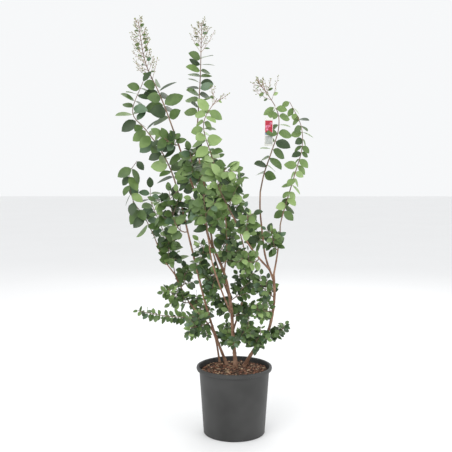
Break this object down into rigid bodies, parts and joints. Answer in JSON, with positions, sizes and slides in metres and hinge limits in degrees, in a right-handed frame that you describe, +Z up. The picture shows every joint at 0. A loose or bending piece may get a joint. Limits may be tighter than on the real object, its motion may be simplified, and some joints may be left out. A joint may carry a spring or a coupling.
{
  "type": "potted crape myrtle",
  "caption": "Young crape myrtle with slender spreading stems, leafy shoots and budding tips, growing in a round black nursery pot filled with bark soil.",
  "frame": {"origin": "centre of the flat underside of the pot", "axes": "+Z up along the pot's axis, +X to the right and +Y away from somebody who faces the plant"},
  "size_m": [0.6938, 0.552, 1.518],
  "materials": {
    "pot": "satin",
    "soil": "matte",
    "label": "satin",
    "bark": "matte",
    "leaf": "satin"
  },
  "bodies": {
    "root": {"pot": "pot", "soil": "soil", "label_tag": "label", "stem_left": "bark", "stem_centre": "bark", "stem_right": "bark", "stem_far_left": "bark", "bough_left_high": "bark", "bough_middle_high": "bark", "bough_pale": "bark", "bough_far_right": "bark", "bough_tag": "bark", "bough_right_inner": "bark", "bough_far_left": "bark", "bough_back_left": "bark", "bough_back_right": "bark", "bough_front": "bark", "foliage_left_top": "leaf", "foliage_left_panicle": "leaf", "foliage_middle_panicle": "leaf", "foliage_pale": "leaf", "foliage_right_inner": "leaf", "foliage_far_right": "leaf", "foliage_far_left": "leaf", "foliage_back_left": "leaf", "foliage_back_right": "leaf", "foliage_front": "leaf", "foliage_low_left": "leaf", "foliage_left_foot": "leaf", "foliage_left_inner_low": "leaf", "foliage_left_inner": "leaf", "foliage_left_outer": "leaf", "foliage_far_left_inner": "leaf", "foliage_far_left_low": "leaf", "foliage_far_left_out": "leaf", "foliage_far_left_up": "leaf", "foliage_foot_left": "leaf", "foliage_foot_right": "leaf", "foliage_centre_left_low": "leaf", "foliage_centre_right_low": "leaf", "foliage_centre_right": "leaf", "foliage_centre_left": "leaf", "foliage_centre_right_high": "leaf", "foliage_centre_front_high": "leaf", "foliage_right_foot": "leaf", "foliage_right_low": "leaf", "foliage_right_inner_low": "leaf", "foliage_right_inner_upper": "leaf", "foliage_right_inner_mid": "leaf", "foliage_right_inner_high": "leaf", "foliage_tag_low": "leaf", "foliage_pale_low": "leaf", "foliage_pale_high": "leaf", "foliage_left_high_mid": "leaf", "foliage_left_high_out": "leaf", "foliage_far_left_side": "leaf", "foliage_far_right_low": "leaf", "foliage_left_high_low": "leaf", "foliage_right_shoot": "leaf", "foliage_middle_mid": "leaf"}
  },
  "joints": []
}
